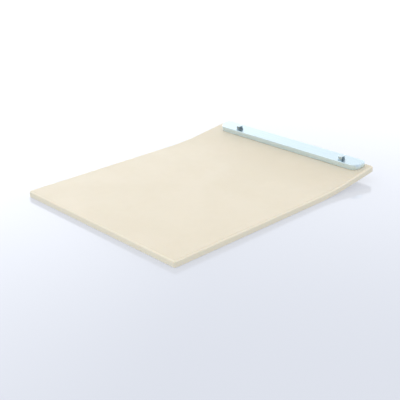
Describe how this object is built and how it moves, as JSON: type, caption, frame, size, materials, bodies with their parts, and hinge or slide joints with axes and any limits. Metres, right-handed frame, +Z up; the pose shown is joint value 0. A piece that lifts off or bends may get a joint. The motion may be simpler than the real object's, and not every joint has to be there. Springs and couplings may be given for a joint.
{
  "type": "transfer board",
  "caption": "Rigid cream plastic transfer board with rounded edges and an upturned end that carries a bolted flat metal bar.",
  "frame": {"origin": "centre of the footprint, on the surface that the flat part of the board lies on", "axes": "+X along the board towards the upturned end and its bar, +Y towards the left long edge, +Z up"},
  "size_m": [0.5858, 0.45, 0.0493],
  "materials": {
    "board_plastic": "smooth satin cream plastic",
    "bar_metal": "satin, brushed along the bar, with a cool tint",
    "plated_steel": "dull blue-grey zinc plated",
    "nylon": "translucent white nylon"
  },
  "bodies": {
    "board_and_bar": {"board": "board_plastic", "end_bar": "bar_metal", "left_under_washer": "plated_steel", "left_nut": "plated_steel", "left_nut_collar": "nylon", "right_under_washer": "plated_steel", "right_nut": "plated_steel", "right_nut_collar": "nylon"},
    "left_washers": {"left_spring_washer": "plated_steel", "left_flat_washer": "plated_steel"},
    "left_screw": {"left_bolt": "plated_steel"},
    "right_washers": {"right_spring_washer": "plated_steel", "right_flat_washer": "plated_steel"},
    "right_screw": {"right_bolt": "plated_steel"}
  },
  "joints": [
    {"name": "left_bolt_rise", "type": "slide", "parent": "board_and_bar", "child": "left_washers", "axis": [-0.1253, 0, 0.9921], "range_m": [0, 0.00876]},
    {"name": "left_bolt_turn", "type": "hinge", "parent": "left_washers", "child": "left_screw", "pos_m": [0.25615, 0.1395, 0.04322], "axis": [-0.1253, 0, 0.9921], "range_deg": [0, 2520]},
    {"name": "right_bolt_rise", "type": "slide", "parent": "board_and_bar", "child": "right_washers", "axis": [-0.1253, 0, 0.9921], "range_m": [0, 0.00876]},
    {"name": "right_bolt_turn", "type": "hinge", "parent": "right_washers", "child": "right_screw", "pos_m": [0.25615, -0.1645, 0.04322], "axis": [-0.1253, 0, 0.9921], "range_deg": [0, 2520]}
  ],
  "couplings": [
    {"joint": "left_bolt_rise", "follows": "left_bolt_turn", "m_per_rad": 0.00019894},
    {"joint": "right_bolt_rise", "follows": "right_bolt_turn", "m_per_rad": 0.00019894}
  ]
}
